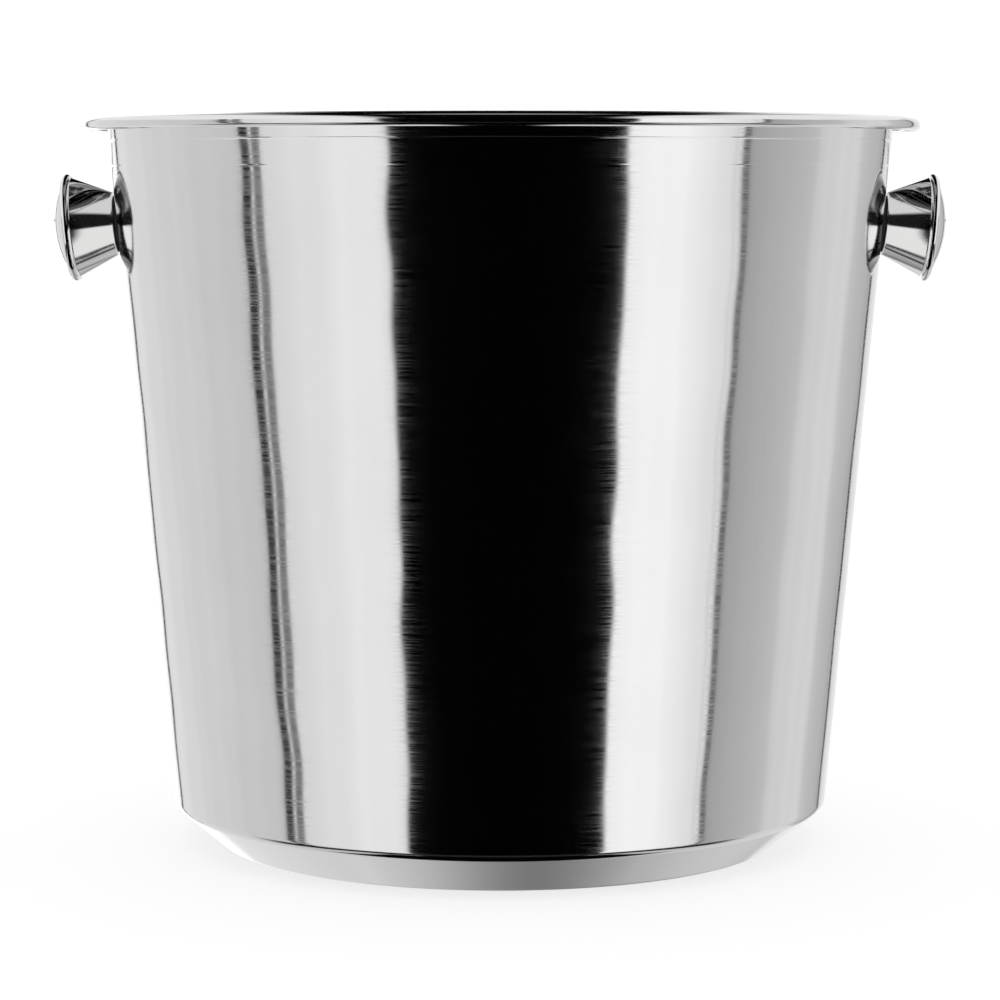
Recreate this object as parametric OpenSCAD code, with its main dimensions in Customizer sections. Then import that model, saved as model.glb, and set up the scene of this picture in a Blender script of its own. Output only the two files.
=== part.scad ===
// Champagne bucket: a tapered bucket spun from one sheet, with a hemmed rim and two knobs.
// Each knob is a flared sleeve with a domed cap, held by a screw from inside the bucket.
// Z is up and the foot stands on z = 0. The knobs are on the X axis.

/* [Bucket] */
// Diameter over the rim
rim_d = 230; // [224:1:240]
// Height from the table to the top of the rim
bucket_h = 200; // [180:1:230]
// Diameter of the wall where it meets the rim
top_d = 215.8; // [210:0.2:216]
// Diameter of the wall where it meets the slanted corner
corner_d = 181.6; // [170:0.2:190]
// Height of that corner above the table
corner_z = 11; // [9:0.5:16]
// Diameter where the slanted corner meets the table
foot_d = 156; // [146:1:160]
// Thickness of the steel sheet
sheet = 0.8; // [0.6:0.1:1]

/* [Bottom] */
// Inner diameter of the flat ring that the bucket stands on
foot_in_d = 134; // [120:1:138]
// Diameter of the raised middle of the floor
push_d = 124; // [100:1:126]
// How far the middle of the floor is pushed up
push_up = 2.6; // [1.5:0.1:4]

/* [Rim] */
// Width of the outer part of the rim that slopes down
slope_w = 4; // [3.6:0.1:5]
// How far that part slopes down
slope_drop = 0.6; // [0.2:0.1:0.8]
// Gap inside the folded edge
hem_gap = 1.5; // [1.45:0.05:2]
// How far the folded edge comes back under the rim
hem_w = 3.8; // [2.5:0.1:4]

/* [Lines round the wall] */
// Depth of each turned line
line_depth = 0.12; // [0.05:0.01:0.2]
// Distance of the upper line below the top of the rim
line_1 = 6.4; // [5.5:0.1:8]
// Distance of the lower line below the top of the rim
line_2 = 13.2; // [10:0.1:16]

/* [Knobs] */
// Height of the middle of each knob, at the wall
knob_z = 171; // [150:1:172]
// Diameter of the small end of the flare
neck_d = 17.2; // [16:0.1:20]
// Diameter of the big end of the flare
flare_d = 28.6; // [27:0.1:29]
// Distance from the wall to the big end of the flare
flare_l = 13; // [12:0.1:14]
// Diameter over the bead of the cap
cap_d = 29.8; // [29.8:0.1:31]
// Distance from the wall to the middle of the cap
knob_l = 17.7; // [17.2:0.1:18.5]
// Thickness of the gasket between the knob and the wall
gasket_t = 0.6; // [0.4:0.1:1]

/* [Screws] */
// Diameter of the screw
screw_d = 5; // [4:1:5]
// Length of the screw under its head
screw_l = 11; // [9:0.5:12]
// Thickness of the seal inside the bucket
seal_t = 1; // [0.8:0.1:1.5]

/* [Hidden] */
$fn = 96;

RIGHT = 0;
LEFT = 180;
wall_steps = 720;
arc_steps = 6;

// Bucket
rim_r = rim_d / 2;
top_r = top_d / 2;
corner_r = corner_d / 2;
foot_r = foot_d / 2;
flange_z = bucket_h - sheet;
hem_z = flange_z - slope_drop;
wall_slope = (top_r - corner_r) / (flange_z - corner_z);
taper = atan(wall_slope);
sheet_x = sheet / cos(taper);
foot_round = 3.5;
corner_round = 4.5;
push_round = 3;
bend_round = 1.2;
slope_round = 4;
hem_round = 0.7;
line_w = 0.8;

// Knob, along its own axis with the wall at 0
neck_r = neck_d / 2;
flare_r = flare_d / 2;
neck_round = 1;
bead_round = 1.3;
bead_r = cap_d / 2 - bead_round;
bead_at = flare_l + 0.1;
dome_edge_at = bead_at + 0.9;
dome_h = knob_l - dome_edge_at;
dome_r = (bead_r * bead_r + dome_h * dome_h) / (2 * dome_h);
cap_hollow_r = bead_r - 0.9;
fit = 0.05;

// Screw and what is on it
hole_d = screw_d + 0.5;
gasket_d = neck_d - 2 * neck_round + 0.4;
seal_d = 13;
washer_d = 12;
washer_t = 1;
spring_d = 9.2;
spring_t = 1.2;
spring_gap = 0.7;
head_d = 9.5;
head_t = 3.4;
head_rim_t = 1.6;
recess_w = 1.3;
recess_top = 5.2;
recess_floor = 2.4;
recess_depth = 2;
tip_chamfer = 0.7;
nut_flats = 8;
nut_t = 6;
seal_at = -sheet - seal_t;
washer_at = seal_at - washer_t;
spring_at = washer_at - spring_t;
nut_at = gasket_t + sheet;

function unit(v) = v / norm(v);
function left_of(v) = [-v.y, v.x];
function backwards(path) = [for (i = [len(path) - 1 : -1 : 0]) path[i]];

// Outer radius of the wall at height z
function wall_r(z) = corner_r + (z - corner_z) * wall_slope;

// Points on an arc about c
function arc(c, r, from, turn) =
    [for (i = [0 : arc_steps]) let (a = from + turn * i / arc_steps) c + r * [cos(a), sin(a)]];

// Corner b of the path a, b, c, rounded with radius r, or left sharp if r is 0
function round_corner(a, b, c, r) =
    r == 0 ? [b] : let (
        u = unit(a - b),
        v = unit(c - b),
        half = acos(u * v) / 2,
        centre = b + unit(u + v) * r / sin(half),
        p = b + u * r / tan(half) - centre,
        q = b + v * r / tan(half) - centre,
        from = atan2(p.y, p.x),
        turn = (atan2(q.y, q.x) - from + 540) % 360 - 180
    ) arc(centre, r, from, turn);

// A path through corners given as [x, y, radius]; its two ends stay sharp
function rounded(corners) =
    let (
        last = len(corners) - 1,
        at = [for (k = corners) [k.x, k.y]]
    ) [
        at[0],
        for (i = [1 : last - 1]) each round_corner(at[i - 1], at[i], at[i + 1], corners[i].z),
        at[last]
    ];

// The path moved by d to the left of its direction
function beside(path, d) =
    [for (i = [0 : len(path) - 1])
        let (
            u = unit(i == 0 ? path[1] - path[0] : path[i] - path[i - 1]),
            v = i == len(path) - 1 ? u : unit(path[i + 1] - path[i]),
            side = left_of(unit(u + v))
        ) path[i] + side * d / (side * left_of(u))];

// Outline of a sheet that follows the path, with its thickness on the left
function sheet_outline(path, t) = concat(path, backwards(beside(path, t)));

// One turned line in the wall, as corners of the bucket's path
function turned_line(depth_down) =
    let (z = bucket_h - depth_down)
    [[wall_r(z - line_w / 2), z - line_w / 2, 0],
     [wall_r(z) - line_depth, z, 0],
     [wall_r(z + line_w / 2), z + line_w / 2, 0]];

// Underside and outside of the sheet, from the middle of the floor to the end of the hem
bucket_path = rounded(concat(
    [[0, push_up, 0],
     [push_d / 2, push_up, push_round],
     [foot_in_d / 2, 0, push_round],
     [foot_r, 0, foot_round],
     [corner_r, corner_z, corner_round]],
    turned_line(line_2),
    turned_line(line_1),
    [[top_r, flange_z, bend_round],
     [rim_r - slope_w, flange_z, slope_round],
     [rim_r - sheet, hem_z, hem_round],
     [rim_r - sheet, hem_z - hem_gap, hem_round],
     [rim_r - hem_w, hem_z - hem_gap, 0]]
));

// Outside of the knob's sleeve, from its screw hole to its big end
knob_path = rounded([
    [hole_d / 2, gasket_t, 0],
    [neck_r, gasket_t, neck_round],
    [flare_r, flare_l, 0]
]);

// Puts a piece on the knob's axis, square to the wall, with +Z pointing out of the bucket
module on_wall(turn) {
    rotate([0, 0, turn])
        translate([wall_r(knob_z), 0, knob_z])
            rotate([0, 90 + taper, 0])
                children();
}

// Everything inside the wall's outer face, or deeper by the inset
module wall_cone(inset) {
    low = corner_z;
    high = flange_z;
    translate([0, 0, low])
        cylinder(h = high - low, r1 = wall_r(low) - inset, r2 = wall_r(high) - inset, $fn = wall_steps);
}

module ring(outer_d, inner_d, from, t) {
    translate([0, 0, from])
        difference() {
            cylinder(h = t, d = outer_d);
            translate([0, 0, -1]) cylinder(h = t + 2, d = inner_d);
        }
}

module bucket_body() {
    color("silver")
        difference() {
            rotate_extrude($fn = wall_steps) polygon(sheet_outline(bucket_path, sheet));
            for (turn = [RIGHT, LEFT])
                on_wall(turn) translate([0, 0, -4]) cylinder(h = 8, d = hole_d);
        }
}

module knob_body(turn) {
    color("lightgray")
        on_wall(turn) rotate_extrude() polygon(sheet_outline(knob_path, sheet));
}

// The domed cap. Its edge is a hollow bead that holds the end of the sleeve.
module knob_cap(turn) {
    color("whitesmoke")
        on_wall(turn) rotate_extrude()
            difference() {
                union() {
                    intersection() {
                        translate([0, knob_l - dome_r]) circle(r = dome_r, $fn = 240);
                        translate([0, bead_at]) square([bead_r, knob_l]);
                    }
                    translate([bead_r, bead_at]) circle(r = bead_round);
                }
                intersection() {
                    translate([0, knob_l - dome_r]) circle(r = dome_r - sheet, $fn = 240);
                    square([cap_hollow_r, knob_l]);
                }
                cap_slot();
            }
}

// Room in the bead for the end of the sleeve
module cap_slot() {
    run = unit([flare_r - neck_r, flare_l - gasket_t]);
    big_end = [flare_r, flare_l];
    polygon([
        big_end - left_of(run) * fit + run * fit,
        big_end - left_of(run) * fit - run * 3,
        big_end + left_of(run) * (sheet + fit) - run * 3,
        big_end + left_of(run) * (sheet + fit) + run * fit
    ]);
}

// Threaded nut, welded inside the small end of the sleeve
module knob_nut(turn) {
    color("gray")
        on_wall(turn) translate([0, 0, nut_at])
            difference() {
                cylinder(h = nut_t, d = nut_flats / cos(30), $fn = 6);
                translate([0, 0, -1]) cylinder(h = nut_t + 2, d = screw_d);
            }
}

// Black gasket, shaped to the round wall on one side and flat against the knob on the other
module outer_gasket(turn) {
    color([0.08, 0.08, 0.08])
        difference() {
            on_wall(turn) ring(gasket_d, hole_d, -1, gasket_t + 1);
            wall_cone(0);
        }
}

// Rubber seal, shaped to the inside of the wall
module inner_seal(turn) {
    color([0.12, 0.12, 0.12])
        intersection() {
            on_wall(turn) ring(seal_d, hole_d, seal_at, seal_t + sheet);
            wall_cone(sheet_x);
        }
}

module inner_washer(turn) {
    color("lightgray") on_wall(turn) ring(washer_d, screw_d + 0.3, washer_at, washer_t);
}

// Split spring washer, pressed flat
module lock_washer(turn) {
    color("darkgray")
        on_wall(turn) difference() {
            ring(spring_d, screw_d + 0.2, spring_at, spring_t);
            translate([0, -spring_gap / 2, spring_at - 1]) rotate([0, 0, 8])
                cube([spring_d, spring_gap, spring_t + 2]);
        }
}

// Pan-head screw with a cross recess. Its head is inside the bucket.
module screw(turn) {
    color("gainsboro")
        on_wall(turn) translate([0, 0, spring_at]) difference() {
            union() {
                rotate_extrude() polygon(screw_outline());
                pan_head();
            }
            for (a = [0, 90]) rotate([0, 0, a]) recess_arm();
        }
}

// Half section of the shank, with a chamfered tip
function screw_outline() =
    let (r = screw_d / 2 - fit)
    [[0, -0.5], [r, -0.5], [r, screw_l - tip_chamfer], [r - tip_chamfer, screw_l], [0, screw_l]];

module pan_head() {
    crown = head_t - head_rim_t;
    crown_r = (head_d * head_d / 4 + crown * crown) / (2 * crown);
    rotate_extrude() intersection() {
        translate([0, crown_r - head_t]) circle(r = crown_r, $fn = 180);
        translate([0, -head_t]) square([head_d / 2, head_t]);
    }
}

module recess_arm() {
    rotate([90, 0, 0])
        linear_extrude(height = recess_w, center = true)
            polygon([
                [-recess_top / 2, -head_t - 1],
                [recess_top / 2, -head_t - 1],
                [recess_floor / 2, recess_depth - head_t],
                [-recess_floor / 2, recess_depth - head_t]
            ]);
}

bucket_body();
knob_body(LEFT);  // left_knob_body
knob_cap(LEFT);  // left_knob_cap
knob_nut(LEFT);  // left_knob_nut
outer_gasket(LEFT);  // left_outer_gasket
inner_seal(LEFT);  // left_inner_seal
inner_washer(LEFT);  // left_inner_washer
lock_washer(LEFT);  // left_lock_washer
screw(LEFT);  // left_screw
knob_body(RIGHT);  // right_knob_body
knob_cap(RIGHT);  // right_knob_cap
knob_nut(RIGHT);  // right_knob_nut
outer_gasket(RIGHT);  // right_outer_gasket
inner_seal(RIGHT);  // right_inner_seal
inner_washer(RIGHT);  // right_inner_washer
lock_washer(RIGHT);  // right_lock_washer
screw(RIGHT);  // right_screw
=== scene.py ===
"""A polished steel champagne bucket with two flared knobs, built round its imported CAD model.

Shapes are worked out in millimetres, in the same frame as the CAD: +Z is up, the foot stands on z = 0
and the knobs are on the X axis. Meshes are scaled to metres when they are made.
"""
import math

import bpy
import numpy as np
from mathutils import Matrix, Vector


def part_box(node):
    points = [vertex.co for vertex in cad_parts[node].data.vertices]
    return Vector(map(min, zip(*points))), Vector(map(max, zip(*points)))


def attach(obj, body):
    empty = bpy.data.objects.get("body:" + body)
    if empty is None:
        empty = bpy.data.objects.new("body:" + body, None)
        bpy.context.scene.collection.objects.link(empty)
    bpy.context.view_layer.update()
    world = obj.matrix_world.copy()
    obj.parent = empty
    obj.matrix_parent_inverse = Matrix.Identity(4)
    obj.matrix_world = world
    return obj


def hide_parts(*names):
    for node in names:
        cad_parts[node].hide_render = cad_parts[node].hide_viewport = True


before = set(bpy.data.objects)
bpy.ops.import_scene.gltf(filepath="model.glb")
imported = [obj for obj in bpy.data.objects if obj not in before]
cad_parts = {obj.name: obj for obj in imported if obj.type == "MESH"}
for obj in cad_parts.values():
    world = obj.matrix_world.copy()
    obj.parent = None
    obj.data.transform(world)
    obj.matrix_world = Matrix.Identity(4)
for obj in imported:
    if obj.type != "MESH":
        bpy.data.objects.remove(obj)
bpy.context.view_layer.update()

MM = 0.001
BODY = "root"

# ---------------------------------------------------------------- dimensions, in millimetres

# Bucket
RIM_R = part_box("bucket_body")[1].x / MM
BUCKET_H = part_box("bucket_body")[1].z / MM
TOP_R = 107.9
CORNER_R = 90.8
CORNER_Z = 11
FOOT_R = 78
SHEET = 0.8
FOOT_IN_R = 67
PUSH_R = 62
PUSH_UP = 2.6
SLOPE_W = 4
SLOPE_DROP = 0.6
HEM_GAP = 1.5
HEM_W = 3.8
HEM_FOLDS = (0.7, 0.35)  # radius inside the upper fold and the lower one
LINE_W = 0.6
LINES = ((13.2, 0.045), (6.4, 0.075))  # how far each turned line is below the rim's top, and its depth
FLANGE_Z = BUCKET_H - SHEET
WALL_SLOPE = (TOP_R - CORNER_R) / (FLANGE_Z - CORNER_Z)
TAPER = math.atan(WALL_SLOPE)

# Knob, along its own axis with the wall's outer face at 0
KNOB_Z = 171
NECK_R = 8.6
NECK_ROUND = 1
FLARE_R = 14.3
FLARE_L = 13
GASKET_T = 0.6
GASKET_R = 7.8
BEAD_ROUND = 1.3
BEAD_R = 13.6
BEAD_AT = 13.1
KNOB_L = 17.7
DOME_EDGE_AT = 14
DOME_H = KNOB_L - DOME_EDGE_AT
DOME_R = (BEAD_R ** 2 + DOME_H ** 2) / (2 * DOME_H)
CAP_HOLLOW_R = 12.7
FIT = 0.05  # clearance between the cap's rolled edge and the sleeve

# Screw and what is on it
HOLE_R = 2.75
SCREW_R = 2.45
SCREW_L = 11
THREAD_PITCH = 0.8
THREAD_DEPTH = 0.4
THREAD_FIT = 0.15  # clearance between the screw and the nut
SEAL_R = 6.5
SEAL_T = 1
WASHER_R = 6
WASHER_HOLE_R = 2.65
WASHER_T = 1
SPRING_R = 4.6
SPRING_HOLE_R = 2.6
SPRING_T = 1.2
HEAD_R = 4.75
HEAD_T = 3.4
HEAD_RIM_T = 1.6
RECESS_W = 1.3
RECESS_TOP = 5.2
RECESS_FLOOR = 2.4
RECESS_DEPTH = 2
NUT_FLATS = 8
NUT_T = 6
SEAL_AT = -SHEET - SEAL_T
WASHER_AT = SEAL_AT - WASHER_T
SPRING_AT = WASHER_AT - SPRING_T
NUT_AT = GASKET_T + SHEET

SIDES = {"right": 0, "left": math.pi}


def wall_r(z):
    """Outer radius of the wall at height z."""
    return CORNER_R + (z - CORNER_Z) * WALL_SLOPE


# ---------------------------------------------------------------- outlines


def unit(v):
    return v / np.linalg.norm(v)


def graded(length, fine, coarse, growth=1.7):
    """Distances along a straight run, close together near both ends, without the ends themselves."""
    near, step = [], fine
    while sum(near) + step < length / 2 and step < coarse:
        near.append(step)
        step *= growth
    near = np.cumsum(near) if near else np.array([0.0])
    gap = length - 2 * near[-1]
    count = max(1, math.ceil(gap / coarse))
    middle = near[-1] + gap * np.arange(count + 1) / count
    inner = np.concatenate([near[:-1], middle, length - near[:-1][::-1]])
    return inner[(inner > 1e-6) & (inner < length - 1e-6)]


def outline(corners, coarse, fine=0.25, arc_step=9):
    """Points along a path of corners (x, y, radius), and the normal on the right of each."""
    at = [np.array(c[:2], float) for c in corners]
    points, normals = [at[0]], []
    right = lambda d: np.array([d[1], -d[0]])
    normals.append(right(unit(at[1] - at[0])))
    start = at[0]
    for i in range(1, len(corners)):
        direction = unit(at[i] - at[i - 1])
        last = i == len(corners) - 1
        radius = 0 if last else corners[i][2]
        leave = direction if last else unit(at[i + 1] - at[i])
        cross = direction[0] * leave[1] - direction[1] * leave[0]
        bend = math.atan2(cross, direction @ leave)
        cut = radius * math.tan(abs(bend) / 2)
        end = at[i] - direction * cut
        run = np.linalg.norm(end - start)
        for d in graded(run, fine, coarse):
            points.append(start + direction * d)
            normals.append(right(direction))
        steps = max(2, math.ceil(abs(math.degrees(bend)) / arc_step)) if radius else 0
        if not steps:
            points.append(end)
            normals.append(right(direction) if last else unit(right(direction) + right(leave)))
        side = math.copysign(1, bend)
        centre = end - right(direction) * radius * side
        for k in range(steps + 1 if steps else 0):
            a = bend * k / steps
            turned = np.array([
                direction[0] * math.cos(a) - direction[1] * math.sin(a),
                direction[0] * math.sin(a) + direction[1] * math.cos(a),
            ])
            points.append(centre + right(turned) * radius * side)
            normals.append(right(turned))
        start = at[i] + leave * cut
    return np.array(points), np.array(normals)


def arc(centre, radius, start, turn, steps):
    """Points on an arc, angles in degrees."""
    a = np.radians(start + turn * np.arange(steps + 1) / steps)
    return np.array(centre) + radius * np.stack([np.cos(a), np.sin(a)], 1)


def box_section(r_in, r_out, low, high, edge, fine=0.3):
    """Closed outline of a ring's section with rounded edges, going round from its inner lower corner."""
    mid = (low + high) / 2
    corners = [
        (r_in, mid, 0), (r_in, low, edge), (r_out, low, edge),
        (r_out, high, edge), (r_in, high, edge), (r_in, mid, 0),
    ]
    points, _ = outline(corners, coarse=1.2, fine=fine, arc_step=22)
    return points[:-1]


# ---------------------------------------------------------------- meshes


def new_piece(name, vertices, faces, matrix=None, smooth=True):
    """An object from vertices in millimetres, shaded smooth."""
    mesh = bpy.data.meshes.new(name)
    mesh.from_pydata((np.asarray(vertices) * MM).tolist(), [], faces)
    mesh.validate()
    mesh.update()
    if smooth:
        mesh.shade_smooth()
    piece = bpy.data.objects.new(name, mesh)
    bpy.context.scene.collection.objects.link(piece)
    if matrix is not None:
        piece.matrix_world = matrix
    return piece


def spin(rings, segments, closed=False, shape=None):
    """Vertices and faces of an outline (r, z) turned round the Z axis.

    An end on the axis becomes one vertex. shape(theta, ring index, r, z) may move each ring's points.
    """
    theta = 2 * math.pi * np.arange(segments) / segments
    vertices, starts = [], []
    for i, (r, z) in enumerate(rings):
        starts.append(len(vertices))
        if r < 1e-6:
            vertices.append((0.0, 0.0, z))
            continue
        radius, height = np.full(segments, r), np.full(segments, z)
        if shape is not None:
            radius, height = shape(theta, i, radius, height)
        vertices.extend(zip(radius * np.cos(theta), radius * np.sin(theta), height))
    faces = []
    count = len(rings)
    for i in range(count if closed else count - 1):
        a, b = i, (i + 1) % count
        for k in range(segments):
            n = (k + 1) % segments
            corners = []
            for ring, turn in ((a, k), (a, n), (b, n), (b, k)):
                index = starts[ring] if rings[ring][0] < 1e-6 else starts[ring] + turn
                if index not in corners:
                    corners.append(index)
            faces.append(corners)
    return np.array(vertices, float), faces


def cut_away(piece, cutter):
    """Takes the cutter's shape out of the piece, for good."""
    change = piece.modifiers.new("cut", "BOOLEAN")
    change.operation = "DIFFERENCE"
    change.solver = "EXACT"
    change.object = cutter
    bpy.context.view_layer.update()
    result = bpy.data.meshes.new_from_object(piece.evaluated_get(bpy.context.evaluated_depsgraph_get()))
    piece.modifiers.clear()
    old = piece.data
    piece.data = result
    bpy.data.meshes.remove(old)
    bpy.data.objects.remove(cutter)


def sharp_above(piece, degrees):
    """Keeps real edges crisp where two faces meet at more than this angle."""
    piece.data.shade_smooth()
    piece.data.set_sharp_from_angle(angle=math.radians(degrees))


def finish_piece(piece, node, material):
    """Puts a finished piece on the body, in place of its CAD node."""
    piece.data.materials.clear()
    piece.data.materials.append(material)
    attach(piece, BODY)
    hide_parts(node)


def knob_matrix(turn):
    """Places a piece on the knob's axis, square to the wall, with +Z pointing out of the bucket."""
    place = Matrix.Translation(Vector((wall_r(KNOB_Z), 0, KNOB_Z)) * MM)
    lean = Matrix.Rotation(math.pi / 2 + TAPER, 4, "Y")
    return Matrix.Rotation(turn, 4, "Z") @ place @ lean


# ---------------------------------------------------------------- bucket

WAVE_COUNT = 16
WAVE_HEIGHT = 0.013
WAVES_AROUND = (7, 22)
WAVES_UP = 0.26  # steepest lean of a wave, in radians per millimetre of height
WAVE_COUNT_AT_FULL_HEIGHT = 12
WAVES_START = (16, 14)  # they rise from this height, over this much
WAVES_STOP = (3, 6)  # and have gone this far below the rim's top, over this much
BUCKET_SEGMENTS = 256


def bucket_corners(with_lines):
    """Corners of the sheet's underside and outside, from the middle of the floor to the end of the hem."""
    corners = [
        (0, PUSH_UP, 0),
        (PUSH_R, PUSH_UP, 3),
        (FOOT_IN_R, 0, 3),
        (FOOT_R, 0, 3.5),
        (CORNER_R, CORNER_Z, 3),
    ]
    for below, depth in LINES if with_lines else ():
        z = BUCKET_H - below
        half = LINE_W / 2
        corners += [
            (wall_r(z - half), z - half, 0.5),
            (wall_r(z) - depth, z, 0.4),
            (wall_r(z + half), z + half, 0.5),
        ]
    return corners + [
        (TOP_R, FLANGE_Z, 1.2),
        (RIM_R - SLOPE_W, FLANGE_Z, 4),
        (RIM_R - SHEET, FLANGE_Z - SLOPE_DROP, HEM_FOLDS[0]),
        (RIM_R - SHEET, FLANGE_Z - SLOPE_DROP - HEM_GAP, HEM_FOLDS[1]),
        (RIM_R - HEM_W, FLANGE_Z - SLOPE_DROP - HEM_GAP, 0),
    ]


def bucket_waves():
    """The slight unevenness of a spun wall: a few long, low waves round it and up it."""
    random = np.random.default_rng(11)
    around = random.integers(*WAVES_AROUND, WAVE_COUNT)
    up = random.uniform(-WAVES_UP, WAVES_UP, WAVE_COUNT)
    phase = random.uniform(0, 2 * math.pi, WAVE_COUNT)

    def height(theta, z):
        waves = [np.cos(k * theta + m * z + p) for k, m, p in zip(around, up, phase)]
        return WAVE_HEIGHT * np.sum(waves, 0) * WAVE_COUNT_AT_FULL_HEIGHT / around.mean()

    return height


def spun_bucket(material):
    outer, outer_n = outline(bucket_corners(True), coarse=3.2)
    inner, inner_n = outline(bucket_corners(False), coarse=5)
    inner = inner - inner_n * SHEET
    hem_end = (outer[-1] + inner[-1]) / 2
    end_cap = arc(hem_end, SHEET / 2, 90, 180, 6)[1:-1]
    rings = np.concatenate([outer, end_cap, inner[::-1]])
    normals = np.concatenate([outer_n, np.zeros_like(end_cap), inner_n[::-1]])
    wave = bucket_waves()

    def shape(theta, i, radius, height):
        z = height[0]
        above_start = (z - WAVES_START[0]) / WAVES_START[1]
        below_stop = (BUCKET_H - WAVES_STOP[0] - z) / WAVES_STOP[1]
        on_wall = np.clip(above_start, 0, 1) * np.clip(below_stop, 0, 1)
        shift = wave(theta, z) * on_wall
        return radius + normals[i][0] * shift, height + normals[i][1] * shift

    piece = new_piece("spun_bucket", *spin(rings, BUCKET_SEGMENTS, shape=shape))
    for turn in SIDES.values():
        drill = spin([(0, -4), (HOLE_R, -4), (HOLE_R, 4), (0, 4)], 48)
        cut_away(piece, new_piece("drill", *drill, knob_matrix(turn)))
    sharp_above(piece, 40)
    finish_piece(piece, "bucket_body", material)


# ---------------------------------------------------------------- knob

KNOB_SEGMENTS = 144
BEAD_ENDS = 113  # where the bead turns into the groove round the dome, in degrees round the bead
GROOVE = 0.35  # width of the groove, in degrees round the dome


def flared_sleeve(name, matrix):
    corners = [(HOLE_R, GASKET_T, 0), (NECK_R, GASKET_T, NECK_ROUND), (FLARE_R, FLARE_L, 0)]
    outer, normals = outline(corners, coarse=0.9, fine=0.12, arc_step=6)
    inner = outer - normals * SHEET
    rings = np.concatenate([outer, inner[::-1]])
    piece = new_piece(name, *spin(rings, KNOB_SEGMENTS, closed=True), matrix)
    sharp_above(piece, 40)
    return piece


def on_bead(line_point, direction):
    """Where a line meets the bead's round edge, on the side that it comes from."""
    to_line = line_point - np.array([BEAD_R, BEAD_AT])
    half = to_line @ direction
    root = math.sqrt(half ** 2 - to_line @ to_line + BEAD_ROUND ** 2)
    return line_point + direction * (-half - root)


def domed_cap(name, matrix):
    bead = np.array([BEAD_R, BEAD_AT])
    run = unit(np.array([FLARE_R - NECK_R, FLARE_L - GASKET_T]))
    left = np.array([-run[1], run[0]])
    big_end = np.array([FLARE_R, FLARE_L])
    slot_out = big_end - left * FIT
    slot_in = big_end + left * (SHEET + FIT)
    lip_out, lip_in = on_bead(slot_out, run), on_bead(slot_in, run)
    angle = lambda p: math.degrees(math.atan2(*(p - bead)[::-1]))
    dome_centre_z = KNOB_L - DOME_R
    bead_face = arc(bead, BEAD_ROUND, angle(lip_out), BEAD_ENDS - angle(lip_out), 30)
    groove = bead_face[-1]
    dome_start = math.degrees(math.atan2(groove[1] - dome_centre_z, groove[0])) + GROOVE
    dome = arc((0, dome_centre_z), DOME_R, dome_start, 90 - dome_start, 26)
    hollow_start = math.degrees(math.acos(CAP_HOLLOW_R / (DOME_R - SHEET)))
    hollow = arc((0, dome_centre_z), DOME_R - SHEET, 90, hollow_start - 90, 12)
    back_from = 360 - math.degrees(math.acos((CAP_HOLLOW_R - BEAD_R) / BEAD_ROUND))
    lip_back = arc(bead, BEAD_ROUND, back_from, angle(lip_in) % 360 - back_from, 4)
    dome[-1][0] = hollow[0][0] = 0
    rings = np.concatenate([
        [slot_in + run * FIT, slot_out + run * FIT],
        bead_face, dome, hollow, lip_back,
    ])
    vertices, faces = spin(rings, KNOB_SEGMENTS, closed=True)
    faces = [f for f in faces if len(f) >= 3]
    piece = new_piece(name, vertices, faces, matrix)
    sharp_above(piece, 35)
    return piece


def wall_drop(theta, radius, inset):
    """How far the round wall lies below the plane through the knob's foot, along the knob's axis."""
    y = radius * np.sin(theta)
    wall = (wall_r(KNOB_Z) - inset) / math.cos(TAPER)
    return wall - np.sqrt(wall ** 2 - y ** 2)


def rubber_ring(name, matrix, r_out, low, high, follow_low, follow_high, inset):
    """A rubber ring with one face pressed to the shape of the wall."""
    rings = box_section(HOLE_R, r_out, low, high, 0.16)
    mid = (low + high) / 2

    def shape(theta, i, radius, height):
        follow = follow_low if height[0] < mid else follow_high
        return radius, height - wall_drop(theta, radius, inset) * follow

    piece = new_piece(name, *spin(rings, 96, closed=True, shape=shape), matrix)
    sharp_above(piece, 40)
    return piece


def flat_washer(name, matrix):
    rings = box_section(WASHER_HOLE_R, WASHER_R, WASHER_AT, WASHER_AT + WASHER_T, 0.14)
    piece = new_piece(name, *spin(rings, 96, closed=True), matrix)
    sharp_above(piece, 40)
    return piece


def spring_washer(name, matrix):
    """A split ring. Its two ends are cut at a slant."""
    section = box_section(SPRING_HOLE_R, SPRING_R, SPRING_AT, SPRING_AT + SPRING_T, 0.16)
    steps = 90
    gap = math.radians(11)
    slant = math.radians(9)
    vertices, faces = [], []
    mid = SPRING_AT + SPRING_T / 2
    for k in range(steps + 1):
        t = k / steps
        base = gap / 2 + (math.tau - gap) * t
        for r, z in section:
            a = base + slant * (z - mid) / SPRING_T
            vertices.append((r * math.cos(a), r * math.sin(a), z))
    n = len(section)
    for k in range(steps):
        for j in range(n):
            m = (j + 1) % n
            faces.append([k * n + j, (k + 1) * n + j, (k + 1) * n + m, k * n + m])
    faces.append(list(range(n)))
    faces.append([steps * n + j for j in reversed(range(n))])
    piece = new_piece(name, vertices, faces, matrix)
    sharp_above(piece, 40)
    return piece


def thread_cut(theta, z):
    """How deep the thread is cut at each point, from 0 on its flat crest to 1 in its flat root."""
    turn = (z / THREAD_PITCH - theta / math.tau) % 1
    return np.clip(np.abs(turn - 0.5) * 3.2 - 0.3, 0, 1)


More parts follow.
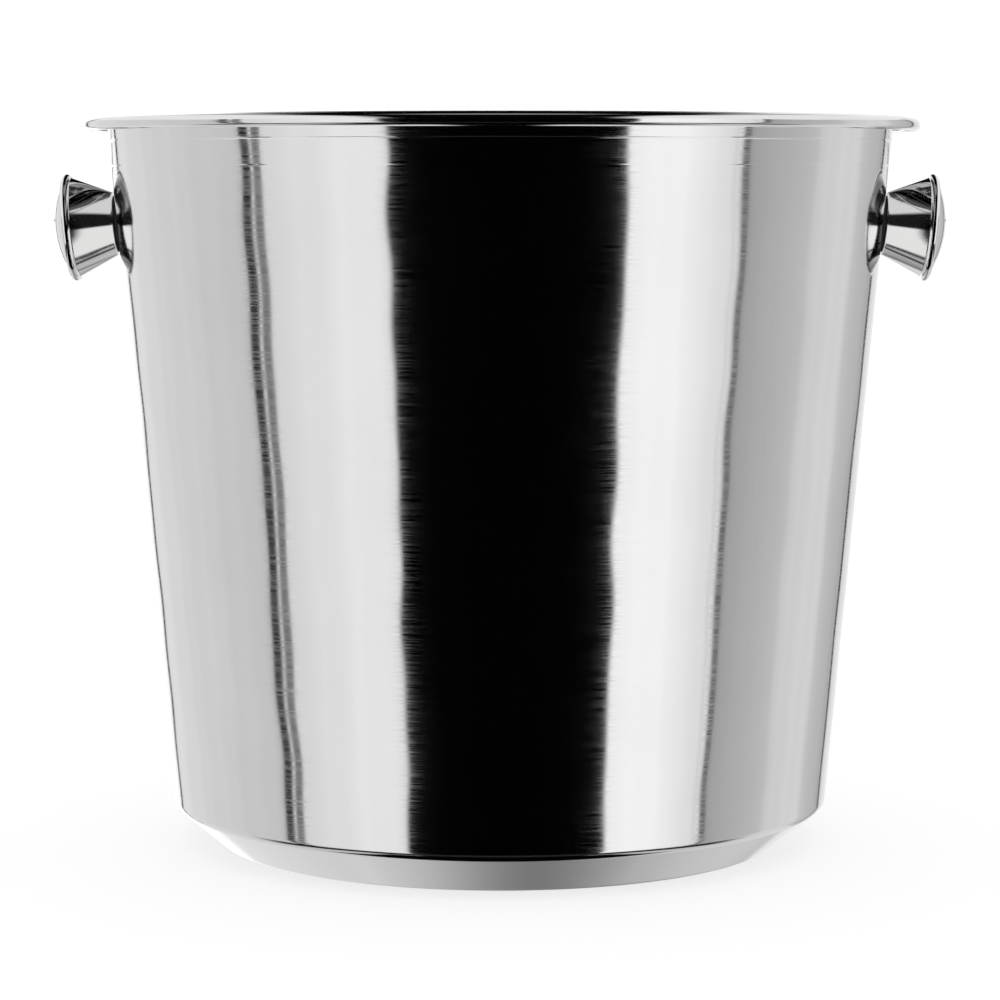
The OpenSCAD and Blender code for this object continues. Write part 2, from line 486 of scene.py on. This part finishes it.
def pan_screw(name, matrix):
    """Pan-head screw with a cross recess and a rolled thread."""
    crown = HEAD_T - HEAD_RIM_T
    crown_r = (HEAD_R ** 2 + crown ** 2) / (2 * crown)
    edge = math.degrees(math.asin(HEAD_R / crown_r))
    top = arc((0, crown_r - HEAD_T), crown_r, -90, edge - 4, 16)
    shoulder = [
        (HEAD_R, -HEAD_RIM_T + 0.1), (HEAD_R, -0.15), (HEAD_R - 0.15, 0),
        (SCREW_R + 0.12, 0), (SCREW_R, 0.12),
    ]
    thread_from, thread_to = 0.9, SCREW_L - 0.7
    count = int((thread_to - thread_from) / THREAD_PITCH * 10)
    shank = [(SCREW_R, z) for z in np.linspace(thread_from, thread_to, count)]
    tip = [(SCREW_R - 0.45, SCREW_L - 0.1), (SCREW_R - 0.6, SCREW_L), (0, SCREW_L)]
    rings = np.array(list(map(tuple, top)) + shoulder + [(SCREW_R, 0.5)] + shank + tip, float)
    rings[0][0] = 0

    def shape(theta, i, radius, height):
        z = height[0]
        fade = np.clip((z - thread_from) / 0.6, 0, 1) * (z <= thread_to)
        return radius - THREAD_DEPTH * thread_cut(theta, z) * fade, height

    vertices, faces = spin(rings, 72, shape=shape)
    vertices[:, 2] += SPRING_AT
    piece = new_piece(name, vertices, faces, matrix)
    for turn in (0, math.pi / 2):
        low, high = -HEAD_T - 1, RECESS_DEPTH - HEAD_T
        half, wide, narrow = RECESS_W / 2, RECESS_TOP / 2, RECESS_FLOOR / 2
        arm = [
            (x, y, z + SPRING_AT) for z, reach in ((low, wide), (high, narrow))
            for x, y in ((-reach, -half), (reach, -half), (reach, half), (-reach, half))
        ]
        sides = [[3, 2, 1, 0], [4, 5, 6, 7]]
        sides += [[k, (k + 1) % 4, (k + 1) % 4 + 4, k + 4] for k in range(4)]
        turned = matrix @ Matrix.Rotation(turn, 4, "Z")
        cut_away(piece, new_piece("arm", arm, sides, turned, smooth=False))
    sharp_above(piece, 32)
    return piece


def hex_nut(name, matrix):
    """Hexagon nut with chamfered corners and a thread that fits the screw's."""
    flat = NUT_FLATS / 2
    chamfer = math.tan(math.radians(30))
    bore = SCREW_R + THREAD_FIT
    segments = 96
    hexagon = 99  # stands for the radius of the rings that follow the six flats
    face_r = flat * 0.96
    mouth = bore + 0.25
    low, high = NUT_AT, NUT_AT + NUT_T
    count = int(NUT_T / THREAD_PITCH * 10)
    bore_z = np.linspace(high - 0.25, low + 0.25, count)
    rings = [(face_r, low), (hexagon, low), (hexagon, high), (face_r, high), (mouth, high)]
    rings += [(bore, z) for z in bore_z] + [(mouth, low)]

    def shape(theta, i, radius, height):
        if radius[0] == hexagon:
            to_flat = (theta + math.pi / 6) % (math.pi / 3) - math.pi / 6
            radius = flat / np.cos(to_flat)
            drop = (radius - face_r) * chamfer
            return radius, height + (drop if i == 1 else -drop)
        if radius[0] == bore:
            return radius - THREAD_DEPTH * thread_cut(theta, height - SPRING_AT), height
        return radius, height

    piece = new_piece(name, *spin(np.array(rings, float), segments, closed=True, shape=shape), matrix)
    sharp_above(piece, 25)
    return piece


def knob(side, turn, knob_steel, fastener_steel, black_rubber):
    matrix = knob_matrix(turn)
    gasket = rubber_ring(f"{side}_wall_gasket", matrix, GASKET_R, 0, GASKET_T, 1, 0, 0)
    seal = rubber_ring(f"{side}_round_seal", matrix, SEAL_R, SEAL_AT, -SHEET, 0, 1, SHEET)
    pieces = [
        (flared_sleeve(f"{side}_flared_sleeve", matrix), "knob_body", "knob_steel", knob_steel),
        (domed_cap(f"{side}_domed_cap", matrix), "knob_cap", "knob_steel", knob_steel),
        (hex_nut(f"{side}_hex_nut", matrix), "knob_nut", "fastener_steel", fastener_steel),
        (gasket, "outer_gasket", "black_rubber", black_rubber),
        (seal, "inner_seal", "black_rubber", black_rubber),
        (flat_washer(f"{side}_flat_washer", matrix), "inner_washer", "fastener_steel", fastener_steel),
        (spring_washer(f"{side}_spring_washer", matrix), "lock_washer", "fastener_steel", fastener_steel),
        (pan_screw(f"{side}_pan_screw", matrix), "screw", "fastener_steel", fastener_steel),
    ]
    for piece, node, slot, material in pieces:
        finish_piece(piece, f"{side}_{node}", material)


# ---------------------------------------------------------------- materials

# Noise cells, per metre: along and across the fine lines, along and across the streaks, clouds and specks
LINE_CELLS = (70, 5200)
STREAK_CELLS = (24, 1500)
CLOUD_CELLS = 28
SPECK_CELLS = 900
FROM_LINES, FROM_STREAKS = 0.8, 0.2  # their shares in the roughness
RUBBER_GRAIN = 3200
RUBBER_DUST = 420

class Tree:
    """Builds a node tree. node() adds a node with its inputs set or linked; the others give an output."""

    def __init__(self, tree):
        self.tree = tree
        self.tree.nodes.clear()

    def node(self, kind, inputs=None, **settings):
        new = self.tree.nodes.new(kind)
        for key, value in settings.items():
            setattr(new, key, value)
        for key, value in (inputs or {}).items():
            self.put(new.inputs[key], value)
        return new

    def put(self, socket, value):
        if isinstance(value, bpy.types.NodeSocket):
            self.tree.links.new(value, socket)
        else:
            socket.default_value = value

    def math(self, operation, a, b=0.0, clamp=False):
        return self.node("ShaderNodeMath", {0: a, 1: b}, operation=operation, use_clamp=clamp).outputs[0]

    def fit(self, value, from_low, from_high, to_low, to_high):
        inputs = {0: value, 1: from_low, 2: from_high, 3: to_low, 4: to_high}
        return self.node("ShaderNodeMapRange", inputs).outputs[0]

    def noise(self, vector, scale, detail=2.0, rough=0.5):
        inputs = {"Vector": vector, "Scale": scale, "Detail": detail, "Roughness": rough}
        return self.node("ShaderNodeTexNoise", inputs).outputs[0]


def turned_steel(name, grey, rough, streak_rough, line_depth, specks):
    """Steel polished on a lathe: fine lines run round the piece's Z axis and blur what it mirrors.

    A line's place is r + z, so that the lines are rings on flat, slanted and upright faces alike.
    """
    material = bpy.data.materials.new(name)
    material.use_nodes = True
    t = Tree(material.node_tree)
    place = t.node("ShaderNodeTexCoord").outputs["Object"]
    xyz = t.node("ShaderNodeSeparateXYZ", {0: place}).outputs
    flat = t.node("ShaderNodeCombineXYZ", {0: xyz[0], 1: xyz[1]}).outputs[0]
    radius = t.node("ShaderNodeVectorMath", {0: flat}, operation="LENGTH").outputs["Value"]
    along = t.math("ADD", radius, xyz[2])
    # Long thin cells: many millimetres round the piece and a fraction of one across the lines
    stretched = lambda around, across: t.node("ShaderNodeCombineXYZ", {
        0: t.math("MULTIPLY", xyz[0], around),
        1: t.math("MULTIPLY", xyz[1], around),
        2: t.math("MULTIPLY", along, across),
    }).outputs[0]
    fine = t.noise(stretched(*LINE_CELLS), 1.0, 2.0, 0.6)
    streak = t.noise(stretched(*STREAK_CELLS), 1.0, 3.0, 0.6)
    cloud = t.noise(place, CLOUD_CELLS, 3.0, 0.55)
    speck = t.noise(place, SPECK_CELLS, 1.0, 0.5)

    streaks = t.fit(streak, 0.42, 0.78, 0.0, 1.0)
    lines = t.fit(fine, 0.38, 0.62, 0.0, 1.0)
    clouds = t.fit(cloud, 0.3, 0.7, -1.0, 1.0)
    from_lines = t.math("MULTIPLY", lines, FROM_LINES)
    mixed = t.math("ADD", t.math("MULTIPLY", streaks, FROM_STREAKS), from_lines)
    roughness = t.math("ADD", t.math("MULTIPLY", mixed, streak_rough), rough)
    roughness = t.math("ADD", roughness, t.math("MULTIPLY", clouds, rough * 0.12))
    spots = t.fit(speck, 0.70, 0.78, 0.0, specks)
    roughness = t.math("ADD", roughness, spots, clamp=True)

    tone = t.math("ADD", grey, t.math("MULTIPLY", t.math("SUBTRACT", streaks, 0.5), 0.008))
    tone = t.math("ADD", tone, t.math("MULTIPLY", clouds, 0.012))
    colour = t.node("ShaderNodeCombineColor", {0: tone, 1: tone, 2: t.math("MULTIPLY", tone, 0.996)}).outputs[0]
    bump = t.node("ShaderNodeBump", {"Strength": 1.0, "Distance": line_depth * MM, "Height": lines})
    shader = t.node("ShaderNodeBsdfPrincipled", {
        "Base Color": colour, "Metallic": 1.0, "Roughness": roughness, "Normal": bump.outputs[0],
    })
    t.node("ShaderNodeOutputMaterial", {0: shader.outputs[0]})
    return material


def rubber(name):
    """Matte black moulded rubber with a fine grain and a little dust."""
    material = bpy.data.materials.new(name)
    material.use_nodes = True
    t = Tree(material.node_tree)
    place = t.node("ShaderNodeTexCoord").outputs["Object"]
    grain = t.noise(place, RUBBER_GRAIN, 2.0, 0.6)
    dust = t.noise(place, RUBBER_DUST, 3.0, 0.6)
    tone = t.fit(dust, 0.35, 0.75, 0.012, 0.03)
    colour = t.node("ShaderNodeCombineColor", {0: tone, 1: tone, 2: tone}).outputs[0]
    roughness = t.fit(grain, 0.3, 0.7, 0.55, 0.75)
    bump = t.node("ShaderNodeBump", {"Strength": 0.6, "Distance": 0.02 * MM, "Height": grain})
    shader = t.node("ShaderNodeBsdfPrincipled", {
        "Base Color": colour, "Roughness": roughness, "Normal": bump.outputs[0],
    })
    t.node("ShaderNodeOutputMaterial", {0: shader.outputs[0]})
    return material


# ---------------------------------------------------------------- studio

# The studio is seen only in mirrored rays. Angles are in degrees, and light is 1 for white.

# What stands round it: from and to in azimuth, the light at each of those edges, and how soft the edges are.
# 0 is the camera's side and positive is to its right. A later card stands in front of an earlier one.
CARDS = (
    (-180, -150, 1.2, 1.1, 0.5),  # back of the white room, left
    (150, 180, 0.75, 1.0, 0.5),  # back of the white room, right
    (-151, -79, 0.85, 0.65, 0.5),  # left wall
    (75, 106, 0.42, 0.62, 0.4),  # right wall, nearest part
    (105, 130, 0.72, 0.8, 1.5),  # right wall, middle
    (129, 151, 0.66, 0.45, 2.0),  # right wall, farthest part
    (-153.4, -150.8, 0.02, 0.02, 0.5),  # left light stand
    (150.6, 153.2, 0.02, 0.02, 0.4),  # right light stand
    (-77.5, -50, 0.8, 0.92, 0.4),  # left soft card, outer half
    (-50, 0, 0.95, 1.05, 4.0),  # left soft card, inner half
    (0, 52, 1.1, 1.1, 0.5),  # right soft card, inner half
    (52, 74, 1.1, 0.85, 0.5),  # right soft card, outer half
    (71, 71.6, 0.6, 0.6, 0.3),  # a fold in the right card
    (73.8, 76.4, 0.13, 0.13, 0.3),  # the right card's frame
    (-75.6, -72.4, 0.16, 0.16, 0.3),  # the left card's frame
    (-80.4, -76.8, 0.02, 0.02, 0.3),  # the left card's black edge
)
CARD_CLOTH = 0.05  # how uneven the cards' cloth is
CLOTH_GRAIN = 9.0
CARDS_END = (-45, -47)
BACK_CARDS_END = (-25, -28)
BACK = (0.05, 0.3)  # where the back half begins, as the y of a direction

# The black flag behind the camera, and a dark strip that goes on from it over the table in front of and under
# the bucket: painted shade on the table
FLAG = (-32.4, 36.8)
FLAG_EDGE = 0.7
FLAG_LIGHT = 0.0006
FRONT_SHADE_HALF_W = 31
FRONT_SHADE_EDGE = 2
FRONT_SHADE_END = (98, 104)

# The table, by the angle down from the camera's side, under the bucket and up behind it
TABLE = (
    (0, 68, 0.85, 0.62, 1.0),
    (68, 95, 0.62, 0.62, 2.0),
    (95, 120, 0.62, 0.72, 2.0),
    (120, 180, 0.72, 1.0, 2.0),
)
TABLE_LIGHT = 0.9
# The bucket's own shade on the table behind its foot, a little to the right of its middle
SHADE_MIDDLE = 0.08
SHADE_HALF_W = 0.36
SHADE_LIGHT = 0.33
SHADE_FROM = (84, 98)
# A dark gap between the cards and the table
GAP = (-45, -31)
GAP_EDGE = 1.5
GAP_LIGHT = 0.02
# A thin dark line just below the horizon, straight behind the bucket: painted shade, mirrored in the underside
# of the rim
RIM_SHADE_LINE = (-0.85, -0.63)
RIM_SHADE_LINE_EDGE = 0.03
RIM_SHADE_LINE_LIGHT = 0.03
RIM_SHADE_LINE_BEHIND = (0.9, 0.95)

# The white room above the cards, and where it starts at the back and in front
ROOM_LIGHT = 0.95
ROOM_FROM_BACK = (14.8, 16.2)
ROOM_FROM_FRONT = (8.5, 11)
# The dark arch overhead: narrow at the back, where it starts above the cards, and wide over the camera
ARCH_W = 30
ARCH_WIDENS = 0.36
ARCH_TURN = 0.1
ARCH_EDGE = (-3, 6)
ARCH_LIGHT = 0.0012
# A dim card in it, straight overhead, so that the bucket's floor isn't black from above
ZENITH = (70, 80)
ZENITH_LIGHT = 0.25

# Light that changes with the number of mirrorings. It isn't physical: it stands in for the way near cards shift
# from place to place, which a distant world can't show. Rays mirrored twice or more meet these, by elevation.
TWICE_MIRRORED = (
    (-91, -64, 1.3, 0.55, 1.0),  # the table
    (-66, -61.5, 0.02, 0.02, 0.8),  # its dark edge
    (-61.5, -5, 1.15, 1.15, 1.5),  # a white card
    (-5, 28, 0.012, 0.012, 3.0),  # the dark above it
)
TWICE_UP_TO = (30, 36)  # they end here
TWICE_IN_FRONT = (0.0, 0.1)  # and here towards the back, as the y of a direction
TWICE_CLEAR = (8, 14)  # between the rim and the wall, the middle stays dark up to this far to the side
ARCH_TWICE = (4, 22)  # the arch is narrower and paler in them
ARCH_TWICE_LIGHT = 0.2
THRICE_LEFT = 0.12  # what a third mirroring leaves of the light that comes from below
THRICE_UP_TO = (0, 10)

WHITE = 1.06  # the plain background and floor


def in_radians(limits):
    return tuple(math.radians(limit) for limit in limits)


def between(t, angle, start, end, soft):
    """1 between two angles in degrees, 0 outside them, with soft edges."""
    rise = t.fit(angle, math.radians(start - soft), math.radians(start + soft), 0.0, 1.0)
    fall = t.fit(angle, math.radians(end - soft), math.radians(end + soft), 1.0, 0.0)
    return t.math("MULTIPLY", rise, fall)


def blend(t, a, b, factor):
    """a where the factor is 0 and b where it is 1."""
    mix = t.node("ShaderNodeMix", {0: factor}, data_type="FLOAT")
    t.put(mix.inputs[2], a)
    t.put(mix.inputs[3], b)
    return mix.outputs[0]


def row_of_cards(t, angle, cards, behind):
    """The light of a row of cards in front of what is behind them."""
    for start, end, first, last, soft in cards:
        light = t.fit(angle, math.radians(start), math.radians(end), first, last)
        behind = blend(t, behind, light, between(t, angle, start, end, soft))
    return behind


def studio_world():
    """The world: the studio in mirrored rays and plain white in all others."""
    world = bpy.data.worlds.new("studio")
    world.use_nodes = True
    bpy.context.scene.world = world
    world.cycles.sampling_method = "NONE"
    t = Tree(world.node_tree)
    direction = t.node("ShaderNodeTexCoord").outputs["Generated"]
    xyz = t.node("ShaderNodeSeparateXYZ", {0: direction}).outputs
    forward = t.math("MULTIPLY", xyz[1], -1.0)
    azimuth = t.math("ARCTAN2", xyz[0], forward)
    elevation = t.math("ARCSINE", xyz[2])
    under = t.math("ARCTAN2", t.math("MULTIPLY", xyz[2], -1.0), forward)
    over_back = t.math("ARCTAN2", xyz[2], xyz[1])
    aside = t.math("ABSOLUTE", t.math("ARCSINE", xyz[0]))
    back = t.fit(xyz[1], *BACK, 0.0, 1.0)

    def zone(limits):
        return t.fit(elevation, *in_radians(limits), 0.0, 1.0)

    across = t.node("ShaderNodeCombineXYZ", {0: t.math("MULTIPLY", azimuth, CLOTH_GRAIN)}).outputs[0]
    cloth = t.fit(t.noise(across, 1.0, 3.0, 0.6), 0.3, 0.7, 1 - CARD_CLOTH, 1 + CARD_CLOTH)
    cards = t.math("MULTIPLY", row_of_cards(t, azimuth, CARDS, 1.0), cloth)
    cards = blend(t, cards, FLAG_LIGHT, between(t, azimuth, *FLAG, FLAG_EDGE))
    cards = blend(t, cards, GAP_LIGHT, between(t, elevation, *GAP, GAP_EDGE))
    # Painted shade: a thin dark line just below the horizon behind the bucket, mirrored in the rim's underside
    rim_shade_line = between(t, elevation, *RIM_SHADE_LINE, RIM_SHADE_LINE_EDGE)
    rim_shade_line = t.math("MULTIPLY", rim_shade_line, t.fit(xyz[1], *RIM_SHADE_LINE_BEHIND, 0.0, 1.0))
    cards = blend(t, cards, RIM_SHADE_LINE_LIGHT, rim_shade_line)

    offset = t.math("ABSOLUTE", t.math("SUBTRACT", xyz[0], SHADE_MIDDLE))
    shade = t.node(
        "ShaderNodeMapRange",
        {0: offset, 1: 0.0, 2: SHADE_HALF_W, 3: SHADE_LIGHT, 4: 1.0},
        interpolation_type="SMOOTHSTEP",
    ).outputs[0]
    table = row_of_cards(t, under, TABLE, TABLE_LIGHT)
    past_nadir = t.fit(under, *in_radians(SHADE_FROM), 0.0, 1.0)
    table = blend(t, table, t.math("MULTIPLY", table, shade), past_nadir)
    # Painted shade: a dark strip, as dark as the flag, over the table in front of and under the bucket
    before_bucket = t.fit(under, *in_radians(FRONT_SHADE_END), 1.0, 0.0)
    front_shade_edge = in_radians((FRONT_SHADE_HALF_W - FRONT_SHADE_EDGE, FRONT_SHADE_HALF_W + FRONT_SHADE_EDGE))
    in_front_shade = t.math("MULTIPLY", before_bucket, t.fit(aside, *front_shade_edge, 1.0, 0.0))
    table = blend(t, table, FLAG_LIGHT, in_front_shade)

    widest = math.radians(ARCH_W)
    arch = t.math("MINIMUM", t.math("MULTIPLY", over_back, ARCH_WIDENS), widest)
    arch = t.math("ADD", arch, t.fit(xyz[1], -ARCH_TURN, ARCH_TURN, widest, 0.0))
    arch = t.math("MINIMUM", arch, widest)
    room = t.fit(t.math("SUBTRACT", aside, arch), *in_radians(ARCH_EDGE), ARCH_LIGHT, ROOM_LIGHT)
    room = t.math("MAXIMUM", room, t.math("MULTIPLY", zone(ZENITH), ZENITH_LIGHT))
    room_from = blend(t, zone(ROOM_FROM_FRONT), zone(ROOM_FROM_BACK), back)

    below = t.math("MAXIMUM", zone(CARDS_END), t.math("MULTIPLY", back, zone(BACK_CARDS_END)))
    around = blend(t, cards, table, below)
    once = blend(t, around, room, room_from)

    paler_room = t.fit(aside, *in_radians(ARCH_TWICE), ARCH_TWICE_LIGHT, ROOM_LIGHT)
    twice = blend(t, around, paler_room, room_from)
    clear = t.fit(aside, *in_radians(TWICE_CLEAR), FLAG_LIGHT, 1.0)
    clear = t.math("MAXIMUM", clear, zone(TWICE_UP_TO))
    in_front = t.math("MULTIPLY", row_of_cards(t, elevation, TWICE_MIRRORED, twice), clear)
    twice = blend(t, in_front, twice, t.fit(xyz[1], *TWICE_IN_FRONT, 0.0, 1.0))
    thrice = t.math("MULTIPLY", twice, t.math("MAXIMUM", zone(THRICE_UP_TO), THRICE_LEFT))

    # Glossy Depth is 1 for a ray mirrored once
    ray = t.node("ShaderNodeLightPath").outputs
    mirrored = blend(t, twice, thrice, t.math("GREATER_THAN", ray["Glossy Depth"], 2.5))
    mirrored = blend(t, once, mirrored, t.math("GREATER_THAN", ray["Glossy Depth"], 1.5))
    seen = blend(t, WHITE, mirrored, ray["Is Glossy Ray"])
    background = t.node("ShaderNodeBackground", {"Color": seen, "Strength": 1.0})
    t.node("ShaderNodeOutputWorld", {0: background.outputs[0]})


FLOOR_SHADOW = 0.3  # how much of the floor takes shadows; the rest glows white


def stage_floor():
    """A white floor that the steel doesn't mirror and that is clear from below."""
    size = 6
    mesh = bpy.data.meshes.new("floor")
    corners = [(-size, -size, 0), (size, -size, 0), (size, size, 0), (-size, size, 0)]
    mesh.from_pydata(corners, [], [[0, 1, 2, 3]])
    floor = bpy.data.objects.new("floor", mesh)
    bpy.context.scene.collection.objects.link(floor)
    floor.location.z = -0.02 * MM
    floor.visible_glossy = False
    material = bpy.data.materials.new("floor_white")
    material.use_nodes = True
    t = Tree(material.node_tree)
    paper = t.node("ShaderNodeBsdfDiffuse", {"Color": (0.97, 0.97, 0.97, 1)}).outputs[0]
    glow = t.node("ShaderNodeEmission", {"Color": (WHITE, WHITE, WHITE, 1)}).outputs[0]
    pale = t.node("ShaderNodeMixShader", {0: FLOOR_SHADOW, 1: glow, 2: paper}).outputs[0]
    clear = t.node("ShaderNodeBsdfTransparent").outputs[0]
    from_below = t.node("ShaderNodeNewGeometry").outputs["Backfacing"]
    shader = t.node("ShaderNodeMixShader", {0: from_below, 1: pale, 2: clear})
    t.node("ShaderNodeOutputMaterial", {0: shader.outputs[0]})
    mesh.materials.append(material)


CAMERA_AT = (0, -0.930, 0.1845)
LOOKS_DOWN = 5.55
FOCAL_LENGTH = 120.6


def camera():
    lens = bpy.data.cameras.new("camera")
    lens.sensor_width = 36
    lens.lens = FOCAL_LENGTH
    lens.clip_start = 0.01
    eye = bpy.data.objects.new("camera", lens)
    eye.location = CAMERA_AT
    eye.rotation_euler = (math.radians(90 - LOOKS_DOWN), 0, 0)
    bpy.context.scene.collection.objects.link(eye)
    bpy.context.scene.camera = eye


# ---------------------------------------------------------------- the scene

bpy.context.scene.view_settings.view_transform = "Standard"
camera()
studio_world()
stage_floor()

# Grey, roughness, roughness of the streaks, depth of the lines in millimetres, roughness of the specks
bucket_steel = turned_steel("bucket_steel", 0.80, 0.045, 0.09, 0.0004, 0.02)
knob_steel = turned_steel("knob_steel", 0.82, 0.03, 0.05, 0.0003, 0.02)
fastener_steel = turned_steel("fastener_steel", 0.62, 0.24, 0.14, 0.004, 0.1)
black_rubber = rubber("black_rubber")

spun_bucket(bucket_steel)
for side, turn in SIDES.items():
    knob(side, turn, knob_steel, fastener_steel, black_rubber)
